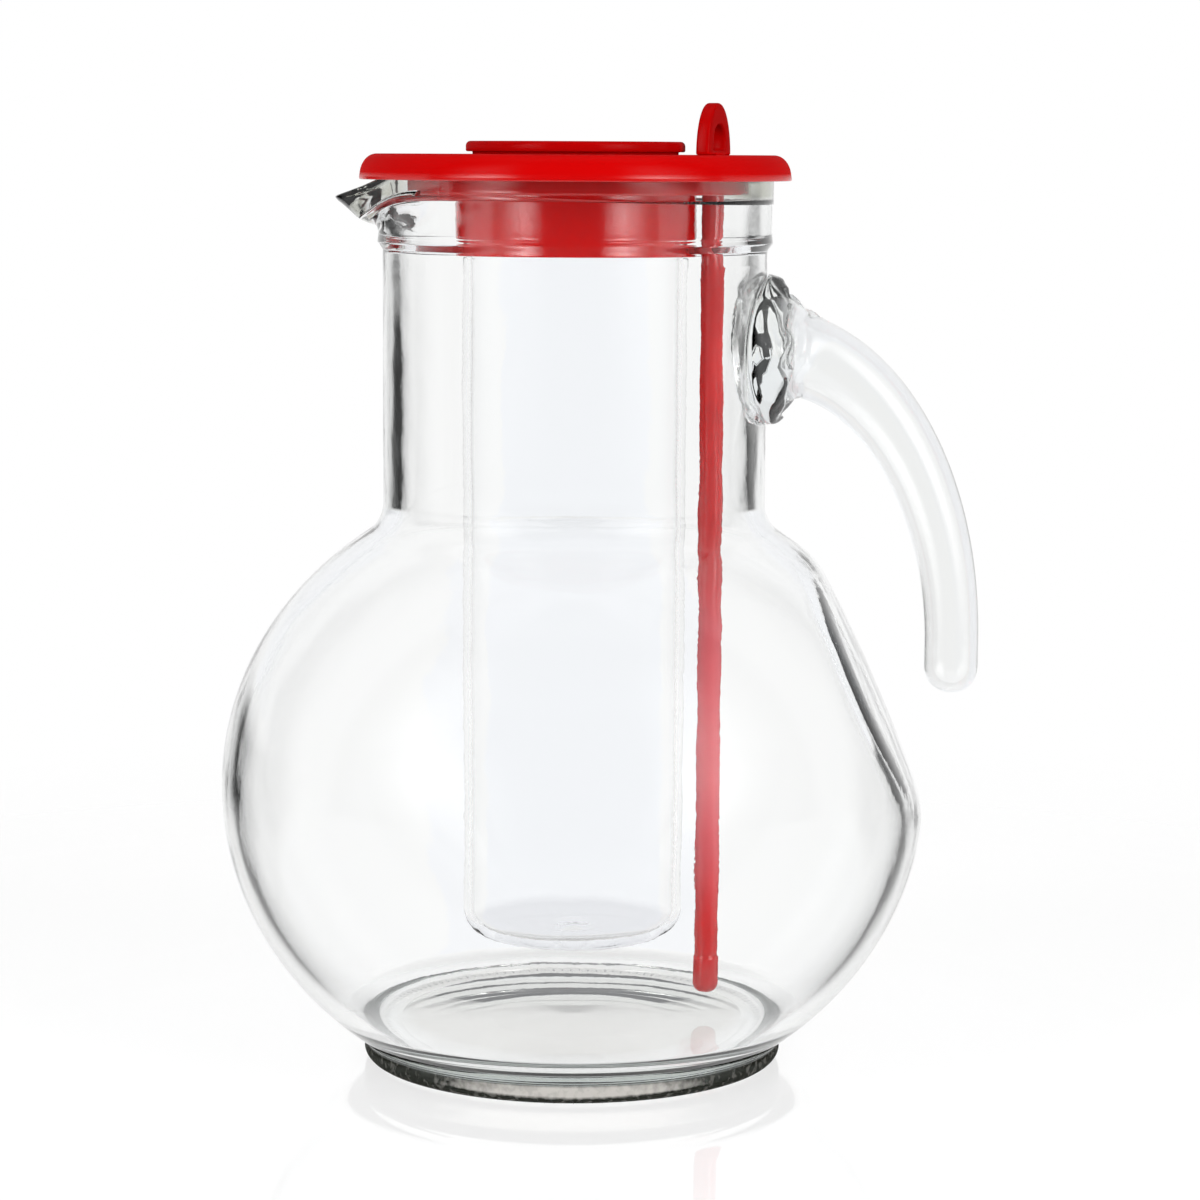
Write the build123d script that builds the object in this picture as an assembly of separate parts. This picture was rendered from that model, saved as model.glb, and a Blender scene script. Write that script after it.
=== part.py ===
from build123d import *
from math import acos, asin, atan2, cos, degrees, exp, radians, sin, sqrt
import os

# A glass jug with a lid that carries an ice tube and a stirrer.
# Millimetres, +Z up. The origin is on the jug's axis, under its foot.
# The handle points along +X and the pouring lip along -X.

# Glass body
belly_r = 86.0
belly_rise = 78.0
belly_z = 68.2
belly_wall = 4.0
neck_r = 46.4
neck_wall = 4.4
neck_blend = 9.0
glass_h = 218.8
floor_t = 11.0
floor_blend = 14.0

# Foot ring and the hollow under it
foot_h = 5.6
foot_edge = 2.6
foot_ring_w = 8.0
punt_depth = 2.2
heel_blend = 2.0

# Thick rim with a bead below it
rim_swell = 1.2
rim_band_h = 19.6
bead_h = 3.2
bead_swell = 0.8
rim_edge = 1.4

# Flat side under the handle, so that fingers clear the belly
flat_tilt = 25.0
flat_neck_angle = 7.6
flat_blend = 14.0

# Pulled pouring lip
lip_reach = 10.6
lip_spread = 20.0
lip_span = 2.6
lip_dip = 8.4
lip_wall = 3.6
lip_rise = 1.2
lip_dip_r = 58.0
lip_curl = 2.2

# Handle, a tapered bar along a quarter ellipse and a short straight end
handle_reach = 45.6
handle_drop = 70.2
handle_root_drop = 24.2
handle_tail = 12.6
handle_thick_root = 22.0
handle_thick_end = 13.0
handle_wide_root = 20.0
handle_wide_end = 15.0
handle_taper = 1.6
handle_flare_h = 6.0
handle_flare_w = 7.0
handle_flare_len = 3.5
handle_end_round = 5.6
handle_sink = 0.9

# Lid
lid_plate = 2.6
lid_edge_h = 2.9
lid_edge_wall = 2.8
lid_edge_round = 5.3
lid_play = 1.6
skirt_play = 0.6
skirt_wall = 1.8
skirt_h = 7.8
skirt_gap_angle = 64.0

# Ice tube and the collar that holds it
tube_r = 27.2
tube_wall = 2.2
tube_floor = 2.4
tube_draft = 0.3
tube_floor_gap = 19.8
tube_corner = 6.0
tube_neck_step = 0.8
collar_wall = 2.3
collar_drop = 21.8
twist_fit = 0.3
twist_depth = 0.9
lug_count = 3
lug_h = 2.0
lug_angle = 16.0
lug_up = 8.0
twist_angle = 40.0
tube_top_gap = 0.4

# Cap over the filling hole
cap_overlap = 2.9
cap_h = 3.1
cap_edge = 1.1
cap_undercut = 0.6
cap_undercut_w = 1.6
cap_plug_inset = 1.8
cap_plug_h = 6.0
cap_plug_wall = 1.8
cap_fit = 0.3

# Stirrer
rod_r = 2.85
rod_fit = 0.4
rod_collar_gap = 0.6
rod_end_r = 3.15
rod_end_h = 9.0
rod_end_round = 2.5
rod_floor_gap = 4.8
tab_w = 16.0
tab_t = 3.4
tab_h = 12.4
tab_base = 1.2
tab_hole_w = 7.8
tab_hole_h = 6.0
tab_edge = 0.7
tab_turn = 17.0

# Levels of the lofted forms; the handle's crowd towards its root
lip_levels = 8
lip_half_points = 9
handle_levels = 8
handle_crowd = 1.6

# Sizes that follow from the ones above
foot_r = belly_r * sqrt(1 - ((belly_z - foot_h) / belly_rise) ** 2)
mouth_r = neck_r - neck_wall
rim_r = neck_r + rim_swell
bead_r = rim_r + bead_swell
bead_z = glass_h - rim_band_h
lip_tip_z = glass_h - lip_dip
handle_root_z = bead_z - handle_root_drop
lid_top_z = glass_h + lid_plate
lid_low_z = glass_h - lid_edge_h
lid_in_r = rim_r + lid_play
lid_r = lid_in_r + lid_edge_wall
skirt_r = mouth_r - skirt_play
tube_neck_r = tube_r - tube_neck_step
collar_in_r = tube_neck_r + twist_fit
collar_r = collar_in_r + collar_wall
collar_z = glass_h - collar_drop
tube_lug_r = tube_neck_r + twist_depth
tube_in_r = tube_r - tube_wall
tube_bottom_z = floor_t + tube_floor_gap
cap_plug_r = tube_in_r - cap_plug_inset
hole_r = cap_plug_r + cap_fit
cap_r = hole_r + cap_overlap
rod_x = collar_r + rod_collar_gap + rod_fit + rod_end_r
rod_bottom_z = floor_t + rod_floor_gap


def corner(face, x, y):
    """The vertex of a flat face nearest to a point."""
    return face.vertices().sort_by_distance((x, y, 0))[0]


def turned(face):
    """Revolve a face, drawn as radius across and height up, about the Z axis."""
    return revolve(Plane.XZ * face, Axis.Z)


def arc_block(outer_r, inner_r, low, high, start, end):
    """A block bent round the Z axis, between two radii, two heights and two angles."""
    face = Pos((outer_r + inner_r) / 2, (low + high) / 2) * Rectangle(outer_r - inner_r, high - low)
    return Rot(0, 0, start) * revolve(Plane.XZ * face, Axis.Z, revolution_arc=end - start)


def belly_angle_at_radius(r, across):
    return degrees(acos(r / across))


def belly_angle_at_height(z, up):
    return degrees(asin((z - belly_z) / up))


def flat_reach():
    """How far the flat side lies from the belly's centre, so that its top edge stops short of the neck."""
    out = belly_r * cos(radians(flat_tilt))
    up = belly_rise * sin(radians(flat_tilt))
    half = belly_angle_at_radius(neck_r, belly_r) - flat_neck_angle - degrees(atan2(up, out))
    return sqrt(out**2 + up**2) * cos(radians(half))


def flat_cutter(inset):
    """Everything beyond the flat side, moved in by the wall for the hollow. It ends below the neck."""
    across = cos(radians(flat_tilt))
    up = sin(radians(flat_tilt))
    reach = flat_reach() - inset
    middle_z = belly_z + reach * up
    shoulder_z = belly_z + belly_rise * sqrt(1 - (neck_r / belly_r) ** 2)
    rise = (shoulder_z + neck_blend / 2 - middle_z) / across
    plane = Plane(origin=(reach * across, 0, middle_z), x_dir=(0, 1, 0), z_dir=(across, 0, up))
    size = 2 * belly_r
    return plane * Pos(0, rise, 0) * Box(size, size, size, align=(Align.CENTER, Align.MAX, Align.MIN))


def flatten(solid, inset):
    """Cut the flat side and round the edge that it leaves."""
    cut = solid - flat_cutter(inset)
    across = cos(radians(flat_tilt))
    up = sin(radians(flat_tilt))
    flat = cut.faces().filter_by(Plane((0, 0, 0), z_dir=(across, 0, up))).sort_by(Axis.X)[-1]
    return fillet(flat.edges(), flat_blend)


def lip_share(z):
    """How far up the lip a height lies, from 0 at the bead to 1 at the tip."""
    return min(1.0, max(0.0, (z - bead_z) / (lip_tip_z - bead_z)))


def lip_outside_r(z):
    """The lip's outer radius on its middle line. It starts just inside the rim."""
    share = lip_share(z)
    return rim_r - rim_swell / 2 * (1 - share) + lip_reach * share**lip_curl


def lip_inside_r(z):
    """The lip's inner radius on its middle line: the rim's wall thins towards the tip."""
    wall = rim_r - mouth_r + (lip_wall - rim_r + mouth_r) * lip_share(z)
    return lip_outside_r(z - lip_rise) - wall


def lip_section(z, base_r, tip_r):
    """One level of the lip: an arc of the neck that swells towards -X, closed by a chord."""
    points = []
    for i in range(-lip_half_points, lip_half_points + 1):
        away = lip_spread * lip_span * i / lip_half_points
        r = base_r + (tip_r - base_r) * exp(-((away / lip_spread) ** 2))
        points.append((-r * cos(radians(away)), r * sin(radians(away))))
    return Pos(0, 0, z) * make_face(Spline(*points) + Line(points[-1], points[0]))


def lip_loft(base_r, radius_at, top):
    low = bead_z - bead_h / 2
    heights = [low + (top - low) * i / lip_levels for i in range(lip_levels + 1)]
    return loft([lip_section(z, base_r, radius_at(z)) for z in heights])


def make_glass_outside():
    heel = belly_angle_at_height(foot_h, belly_rise)
    shoulder = belly_angle_at_radius(neck_r, belly_r)
    shoulder_z = belly_z + belly_rise * sin(radians(shoulder))
    low = TangentArc((0, punt_depth), (foot_r - foot_ring_w, 0), tangent=(1, 0))
    foot = Polyline((foot_r - foot_ring_w, 0), (foot_r, 0), (foot_r, foot_h))
    belly = EllipticalCenterArc((0, belly_z), belly_r, belly_rise, heel, arc_size=shoulder - heel)
    neck = Line((neck_r, shoulder_z), (neck_r, bead_z - bead_h))
    bead = ThreePointArc((neck_r, bead_z - bead_h), (bead_r, bead_z - bead_h / 2), (rim_r, bead_z))
    rim = Polyline((rim_r, bead_z), (rim_r, glass_h), (0, glass_h), (0, punt_depth))
    face = make_face(low + foot + belly + neck + bead + rim)
    face = fillet(corner(face, foot_r, 0), foot_edge)
    face = fillet(corner(face, foot_r, foot_h), heel_blend)
    face = fillet(corner(face, neck_r, shoulder_z), neck_blend)
    face = fillet(corner(face, rim_r, glass_h), rim_edge)
    return flatten(turned(face), 0)


def make_glass_hollow():
    across = belly_r - belly_wall
    up = belly_rise - belly_wall
    floor = belly_angle_at_height(floor_t, up)
    shoulder = belly_angle_at_radius(mouth_r, across)
    floor_r = across * cos(radians(floor))
    shoulder_z = belly_z + up * sin(radians(shoulder))
    above = glass_h + lip_dip
    base = Line((0, floor_t), (floor_r, floor_t))
    belly = EllipticalCenterArc((0, belly_z), across, up, floor, arc_size=shoulder - floor)
    neck = Line((mouth_r, shoulder_z), (mouth_r, glass_h - rim_edge))
    mouth = TangentArc((mouth_r, glass_h - rim_edge), (mouth_r + rim_edge, glass_h), tangent=(0, 1))
    top = Polyline((mouth_r + rim_edge, glass_h), (mouth_r + rim_edge, above), (0, above), (0, floor_t))
    face = make_face(base + belly + neck + mouth + top)
    face = fillet(corner(face, floor_r, floor_t), floor_blend)
    face = fillet(corner(face, mouth_r, shoulder_z), neck_blend + neck_wall)
    return flatten(turned(face), belly_wall)


def make_glass_body():
    outside = lip_loft(neck_r, lip_outside_r, glass_h)
    inside = lip_loft(mouth_r - rim_swell, lip_inside_r, glass_h + lip_wall)
    body = make_glass_outside() + outside - make_glass_hollow() - inside
    dip = Rot(0, -90, 0) * Cylinder(lip_dip_r, 2 * rim_r, align=(Align.CENTER, Align.CENTER, Align.MIN))
    return body - Pos(0, 0, lip_tip_z + lip_dip_r) * dip


def handle_point(turn):
    """A point of the handle's middle line. Turn 0 is its root and 90 the start of its straight end."""
    t = radians(turn)
    return neck_r + handle_reach * sin(t), handle_root_z - handle_drop * (1 - cos(t))


def handle_section(x, z, lean, thick, wide):
    """An oval across the handle's middle line, which leans down by an angle there."""
    t = radians(lean)
    plane = Plane(origin=(x, 0, z), x_dir=(0, 1, 0), z_dir=(cos(t), 0, -sin(t)))
    return plane * Ellipse(wide / 2, thick / 2)


def make_glass_handle():
    root_w = handle_wide_root + 2 * handle_flare_w
    root_h = handle_thick_root + 2 * handle_flare_h
    sink = neck_r - sqrt(neck_r**2 - (root_w / 2) ** 2) + handle_sink
    sections = [handle_section(neck_r - sink, handle_root_z, 0, root_h, root_w)]
    for i in range(handle_levels + 1):
        turn = 90 * (i / handle_levels) ** handle_crowd
        x, z = handle_point(turn)
        left = (1 - turn / 90) ** handle_taper
        flare = exp(-(x - neck_r) / handle_flare_len)
        thick = handle_thick_end + (handle_thick_root - handle_thick_end) * left + 2 * handle_flare_h * flare
        wide = handle_wide_end + (handle_wide_root - handle_wide_end) * left + 2 * handle_flare_w * flare
        lean = degrees(atan2(handle_drop * sin(radians(turn)), handle_reach * cos(radians(turn))))
        sections.append(handle_section(x, z, lean, thick, wide))
    for share in (0.5, 1.0):
        sections.append(handle_section(x, z - handle_tail * share, 90, handle_thick_end, handle_wide_end))
    bar = loft(sections)
    end = bar.faces().sort_by(Axis.Z)[0]
    bar = fillet(end.edges(), handle_end_round)
    return bar - Pos(0, 0, handle_root_z) * Cylinder(neck_r, 2 * handle_drop)


def twist_groove(index):
    """An upright way in and a level run in the collar for one lug of the ice tube."""
    turn = 360 * index / lug_count
    slack = degrees(twist_fit / tube_lug_r)
    half = lug_angle / 2 + slack
    groove_r = tube_lug_r + twist_fit
    open_turn = turn + twist_angle
    low = collar_z + lug_up - lug_h / 2 - twist_fit
    high = collar_z + lug_up + lug_h / 2 + twist_fit
    run = arc_block(groove_r, tube_in_r, low, high, turn - half, open_turn + half)
    way = arc_block(groove_r, tube_in_r, collar_z - twist_fit, high, open_turn - half, open_turn + half)
    return run + way


def make_lid():
    edge_h = lid_top_z - lid_low_z
    skirt_z = glass_h - skirt_h
    top = Line((hole_r, lid_top_z), (lid_r - lid_edge_round, lid_top_z))
    edge = EllipticalCenterArc((lid_r - lid_edge_round, lid_low_z), lid_edge_round, edge_h, 90, arc_size=-90)
    under = Polyline(
        (lid_r, lid_low_z),
        (lid_in_r, lid_low_z),
        (lid_in_r, glass_h),
        (skirt_r, glass_h),
        (skirt_r, skirt_z),
        (skirt_r - skirt_wall, skirt_z),
        (skirt_r - skirt_wall, glass_h),
        (collar_r, glass_h),
        (collar_r, collar_z),
        (collar_in_r, collar_z),
        (collar_in_r, glass_h),
        (hole_r, glass_h),
        (hole_r, lid_top_z),
    )
    lid = turned(make_face(top + edge + under))
    half = skirt_gap_angle / 2
    lid -= arc_block(skirt_r + skirt_play / 2, collar_r + rod_fit, skirt_z, glass_h, 180 - half, 180 + half)
    lid -= Pos(rod_x, 0, glass_h + lid_plate / 2) * Cylinder(rod_end_r + rod_fit, 2 * lid_plate)
    for i in range(lug_count):
        lid -= twist_groove(i)
    return lid


def make_ice_tube():
    shoulder_z = collar_z - twist_fit
    top_z = glass_h - tube_top_gap
    low_r = tube_r - tube_draft
    low_in_r = tube_in_r - tube_draft
    outline = Polyline(
        (0, tube_bottom_z),
        (low_r, tube_bottom_z),
        (tube_r, shoulder_z),
        (tube_neck_r, shoulder_z),
        (tube_neck_r, top_z),
        (tube_in_r, top_z),
        (low_in_r, tube_bottom_z + tube_floor),
        (0, tube_bottom_z + tube_floor),
        (0, tube_bottom_z),
    )
    face = make_face(outline)
    face = fillet(corner(face, low_r, tube_bottom_z), tube_corner)
    face = fillet(corner(face, low_in_r, tube_bottom_z + tube_floor), tube_corner - tube_wall)
    tube = turned(face)
    low = collar_z + lug_up - lug_h / 2
    for i in range(lug_count):
        turn = 360 * i / lug_count
        tube += arc_block(tube_lug_r, tube_in_r, low, low + lug_h, turn - lug_angle / 2, turn + lug_angle / 2)
    return tube


def make_core_cap():
    plug_z = lid_top_z - cap_plug_h
    under_z = lid_top_z + cap_undercut
    outline = Polyline(
        (0, lid_top_z),
        (cap_plug_r - cap_plug_wall, lid_top_z),
        (cap_plug_r - cap_plug_wall, plug_z),
        (cap_plug_r, plug_z),
        (cap_plug_r, lid_top_z),
        (cap_r - cap_undercut_w, lid_top_z),
        (cap_r - cap_undercut_w, under_z),
        (cap_r, under_z),
        (cap_r, lid_top_z + cap_h),
        (0, lid_top_z + cap_h),
        (0, lid_top_z),
    )
    face = make_face(outline)
    face = fillet(corner(face, cap_r, lid_top_z + cap_h), cap_edge)
    return turned(face)


def make_stirrer():
    rod_l = lid_top_z + tab_base - rod_bottom_z
    up = (Align.CENTER, Align.CENTER, Align.MIN)
    rod = Cylinder(rod_r, rod_l, align=up)
    knob = Cylinder(rod_end_r, rod_end_h, align=up)
    knob = fillet(knob.edges().sort_by(Axis.Z)[0], rod_end_round)
    knob = fillet(knob.edges().sort_by(Axis.Z)[-1], rod_end_r - rod_r)
    shape = make_face(
        EllipticalCenterArc((0, 0), tab_w / 2, tab_h, 0, arc_size=180) + Line((-tab_w / 2, 0), (tab_w / 2, 0))
    )
    arch_r = tab_hole_w / 2
    hole = Pos(0, tab_base) * Rectangle(tab_hole_w, tab_hole_h - arch_r, align=(Align.CENTER, Align.MIN))
    hole += Pos(0, tab_base + tab_hole_h - arch_r) * Circle(arch_r)
    tab = Plane.YZ * extrude(shape - hole, tab_t / 2, both=True)
    rim = tab.edges().filter_by(GeomType.ELLIPSE)
    tab = Rot(0, 0, -tab_turn) * fillet(rim, tab_edge)
    tab = Pos(0, 0, lid_top_z - rod_bottom_z) * tab
    return Pos(rod_x, 0, rod_bottom_z) * (rod + knob + tab)


if __name__ == "__main__":
    os.makedirs("parts", exist_ok=True)
    export_step(make_glass_body(), "parts/glass_body.step")
    export_step(make_glass_handle(), "parts/glass_handle.step")
    export_step(make_lid(), "parts/lid.step")
    export_step(make_ice_tube(), "parts/ice_tube.step")
    export_step(make_core_cap(), "parts/core_cap.step")
    export_step(make_stirrer(), "parts/stirrer.step")
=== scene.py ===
import bpy
import bmesh
import numpy as np
from math import atan2, cos, degrees, pi, radians, sin
from mathutils import Matrix, Vector, noise


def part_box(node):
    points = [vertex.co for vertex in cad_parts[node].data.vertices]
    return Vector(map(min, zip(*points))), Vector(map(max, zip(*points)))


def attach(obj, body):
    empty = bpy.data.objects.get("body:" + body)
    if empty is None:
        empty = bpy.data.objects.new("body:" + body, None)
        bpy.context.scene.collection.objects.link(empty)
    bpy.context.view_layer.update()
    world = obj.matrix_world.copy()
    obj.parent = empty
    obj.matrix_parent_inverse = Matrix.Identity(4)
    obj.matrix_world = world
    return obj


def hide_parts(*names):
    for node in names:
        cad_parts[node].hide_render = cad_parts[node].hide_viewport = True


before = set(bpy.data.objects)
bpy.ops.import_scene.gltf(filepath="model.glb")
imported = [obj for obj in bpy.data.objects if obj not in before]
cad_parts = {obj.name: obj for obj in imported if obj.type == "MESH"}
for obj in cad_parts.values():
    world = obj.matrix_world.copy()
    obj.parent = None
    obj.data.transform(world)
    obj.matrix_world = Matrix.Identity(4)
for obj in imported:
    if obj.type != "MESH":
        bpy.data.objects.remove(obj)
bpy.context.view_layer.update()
scene = bpy.context.scene
scene.view_settings.view_transform = "Standard"
mm = 0.001  # sizes below are in millimetres, meshes in metres
print("frame loaded:", ", ".join(sorted(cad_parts)))


# camera: stands to the handle's side of the front and looks a little down
cameraSet = {
    "azimuth": 5.0, "distance": 855.1, "height": 222.0, "lens": 105.8, "sensor": 36,
    "pitch": 7.24, "yaw": 0.43, "roll": 0.29,
}


def makeCamera(s):
    data = bpy.data.cameras.new("camera")
    data.lens = s["lens"]
    data.sensor_width = s["sensor"]
    camera = bpy.data.objects.new("camera", data)
    scene.collection.objects.link(camera)
    turn = radians(s["azimuth"])
    spot = Vector((sin(turn) * s["distance"], -cos(turn) * s["distance"], s["height"])) * mm
    heading = Matrix.Rotation(turn - radians(s["yaw"]), 4, "Z")
    look = heading @ Matrix.Rotation(radians(90 - s["pitch"]), 4, "X")
    camera.matrix_world = Matrix.Translation(spot) @ look @ Matrix.Rotation(radians(s["roll"]), 4, "Z")
    scene.camera = camera
    return camera


camera = makeCamera(cameraSet)
print("camera set")


# lowest and highest corners, from the frame
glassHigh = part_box("glass_body")[1] / mm
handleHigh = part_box("glass_handle")[1] / mm
lidLow, lidHigh = (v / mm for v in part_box("lid"))
tubeLow, tubeHigh = (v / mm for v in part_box("ice_tube"))
capLow, capHigh = (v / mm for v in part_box("core_cap"))
rodLow, rodHigh = (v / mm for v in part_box("stirrer"))
rodX = (rodLow.x + rodHigh.x) / 2


# outlines: curves are arrays of (radius, height), joined with rounded corners
def line(*points, step=0.25, least=24):
    out = []
    for a, b in zip(points[:-1], points[1:]):
        n = max(least, int(np.hypot(b[0] - a[0], b[1] - a[1]) / step) + 1)
        out.append(np.linspace(a, b, n)[(1 if out else 0):])
    return np.concatenate(out)


def arc(centre, across, up, start, end, count=160):
    t = np.radians(np.linspace(start, end, count))
    return np.stack([centre[0] + across * np.cos(t), centre[1] + up * np.sin(t)], 1)


def runs(*corners):
    # straight runs for an outline, through corners given as (radius, height, rounding)
    out = []
    for a, b in zip(corners[:-1], corners[1:]):
        out += [line(a[:2], b[:2]), *b[2:]]
    return out


def roundCorner(first, second, radius, count=15):
    if radius <= 0:
        return first, second[1:]
    went, goes = first[-1] - first[-2], second[1] - second[0]
    side = np.sign(went[0] * goes[1] - went[1] * goes[0])

    def shifted(curve):
        along = np.gradient(curve, axis=0)
        along /= np.linalg.norm(along, axis=1)[:, None]
        return curve + side * radius * np.stack([-along[:, 1], along[:, 0]], 1)

    a, b = shifted(first), shifted(second)
    gaps = ((a[:, None] - b[None]) ** 2).sum(2)
    i, j = np.unravel_index(gaps.argmin(), gaps.shape)
    centre = (a[i] + b[j]) / 2
    start = atan2(*(first[i] - centre)[::-1])
    turn = (atan2(*(second[j] - centre)[::-1]) - start + pi) % (2 * pi) - pi
    t = start + turn * np.linspace(0, 1, count)
    bend = centre + radius * np.stack([np.cos(t), np.sin(t)], 1)
    return np.concatenate([first[: i + 1], bend[1:-1]]), second[j:]


def outline(*steps):
    # curves with the corner radius between each two
    parts = [steps[0]]
    for radius, curve in zip(steps[1::2], steps[2::2]):
        parts[-1], tail = roundCorner(parts[-1], curve, radius)
        parts.append(tail)
    return np.concatenate(parts)


def thinned(path, longest, turn=7.0):
    # keeps a point where the run grows long or the outline has turned enough
    keep, run, bend = [0], 0.0, 0.0
    along = np.diff(path, axis=0)
    size = np.linalg.norm(along, axis=1)
    for i in range(1, len(path) - 1):
        run += size[i - 1]
        a, b = along[i - 1], along[i]
        bend += abs(degrees(atan2(a[0] * b[1] - a[1] * b[0], a @ b)))
        if run >= longest or bend >= turn:
            keep.append(i)
            run, bend = 0.0, 0.0
    return path[keep + [len(path) - 1]]


def smoothStep(x, low, high):
    t = np.clip((x - low) / (high - low), 0, 1)
    return t * t * (3 - 2 * t)


# meshes
def makePiece(name, points, faces, sharp=None):
    mesh = bpy.data.meshes.new(name)
    mesh.from_pydata([tuple(p) for p in points], [], faces)
    piece = bpy.data.objects.new(name, mesh)
    scene.collection.objects.link(piece)
    finishMesh(mesh, sharp)
    return piece


def finishMesh(mesh, sharp=None):
    # merges doubles, turns faces outwards and shades smooth up to the sharp angle
    form = bmesh.new()
    form.from_mesh(mesh)
    bmesh.ops.remove_doubles(form, verts=form.verts, dist=1e-6)
    bmesh.ops.recalc_face_normals(form, faces=form.faces)
    for face in form.faces:
        face.smooth = True
    for edge in form.edges:
        edge.smooth = sharp is None or len(edge.link_faces) != 2 or edge.calc_face_angle(0) < radians(sharp)
    form.to_mesh(mesh)
    form.free()
    mesh.update()


def turnedFaces(rows, columns, closed):
    faces = []
    for j in range(rows if closed else rows - 1):
        low, high = j * columns, (j + 1) % rows * columns
        for i in range(columns):
            k = (i + 1) % columns
            faces.append((low + i, low + k, high + k, high + i))
    return faces


def turnedPiece(name, path, columns, closed=False, sharp=32.0):
    # turns an outline about the upright axis; ends on the axis close by themselves
    t = np.linspace(0, 2 * pi, columns, endpoint=False)
    ring = np.stack([np.cos(t), np.sin(t)], 1)
    points = [(r * c * mm, r * s * mm, z * mm) for r, z in path for c, s in ring]
    return makePiece(name, points, turnedFaces(len(path), columns, closed), sharp)


def asMesh(piece):
    # the piece with its modifiers as a plain mesh
    graph = bpy.context.evaluated_depsgraph_get()
    mesh = bpy.data.meshes.new_from_object(piece.evaluated_get(graph))
    piece.modifiers.clear()
    piece.data = mesh
    mesh.name = piece.name


def combine(piece, others, operation):
    # cuts the others out of the piece or joins them to it
    for other in others:
        step = piece.modifiers.new("combine", "BOOLEAN")
        step.operation = operation
        step.solver = "EXACT"
        step.object = other
    asMesh(piece)
    for other in others:
        bpy.data.objects.remove(other)


def arcBlock(name, outer, inner, low, high, start, end, steps=24):
    corners = ((inner, low), (outer, low), (outer, high), (inner, high))
    t = np.radians(np.linspace(start, end, steps))
    points = [(r * cos(a) * mm, r * sin(a) * mm, z * mm) for a in t for r, z in corners]
    faces = [(0, 1, 2, 3), tuple(len(points) - 4 + i for i in (3, 2, 1, 0))]
    for j in range(steps - 1):
        for i in range(4):
            k = (i + 1) % 4
            faces.append((4 * j + i, 4 * j + 4 + i, 4 * j + 4 + k, 4 * j + k))
    return makePiece(name, points, faces, 30.0)


# jug glass: one skin for body and handle, because the real handle is fused to the neck
jug = {
    "columns": 224, "rowStep": 2.4, "rimStep": 0.7, "innerStep": 2.6, "arcPoints": 450, "spare": 0.05,
    "bellyDrop": 78.0, "bellyRise": 76.5, "bellyZ": 68.2, "bellyWall": 4.0,
    "neckR": 46.4, "neckWall": 4.4, "neckBlend": 9.0, "neckPlay": 0.01,
    "floorT": 11.0, "floorBlend": 14.0, "footH": 5.6, "footEdge": 2.6, "heelBlend": 2.0,
    "ringWidth": 8.0, "ringLift": 0.45, "ringBlend": 3.0, "puntDepth": 2.2, "puntBend": (0.5, 0.8),
    "rimSwell": 1.4, "rimEdge": 1.4, "bandH": 17.0,
    "beadH": 3.2, "beadSwell": 0.12, "beadPeak": (0.45, 0.3), "beadBlends": (0.8, 0.7, 0.5, 0.6),
    "collarH": 8.0, "collarSwell": 0.3, "collarStep": 0.15, "collarBlends": (0.3, 0.1),
    "collarTilt": 1.1, "tiltDepth": 1.2,
    "flatTilt": 25.0, "flatReach": 75.52, "flatSoft": 0.5, "flatBulge": 1.8, "flatAcross": 42.0,
    "flatFade": (137.0, 144.0),
    "lipReach": 12.0, "lipSpread": 17.0, "lipCurl": 2.1, "lipThin": 0.7,
    "lipDip": 7.6, "dipSpread": 23.8, "dipShare": 0.75,
    "waveInside": 0.055, "waveOutside": 0.02, "waveLength": 9.0, "waveTall": 1.3, "waveFine": (0.45, 2.3),
    "waveAcross": (12.0, 30.0), "waveUp": (25.0, 65.0), "waveStop": 2.0, "insideSeed": 31.0,
}
handle = {
    "rootZ": 175.0, "drop": 70.2, "tail": 12.6, "taper": 1.6, "leanOut": 20.8, "endShape": 0.9, "endTurn": 88,
    "thickRoot": 22.0, "thickEnd": 13.0, "wideRoot": 20.0, "wideEnd": 15.0,
    "padRings": 24, "bendRings": 45, "tailRings": 6, "endRings": 12, "settle": (-1.0, 9.0),
    "padH": 18.2, "padAngle": 25.0, "padWide": 1.4, "padEase": 1.9, "padEaseUp": 1.12,
    "padOut": (0.0, 1.2, 2.6, 3.8, 4.6, 5.2, 6.2, 8.0, 10.5, 13.0),
    "padSwell": (0.66, 0.655, 0.6, 0.49, 0.37, 0.27, 0.18, 0.095, 0.03, 0.0),
    "fold": 3.08, "foldAside": 0.6, "foldLength": (4.0, 7.0),
    "foldStart": (0.0, 5.0), "foldFade": (6.0, 12.0), "foldShifts": ((0, 0, 0), (7, 0, 0), (0, 9, 0)),
}


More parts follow.
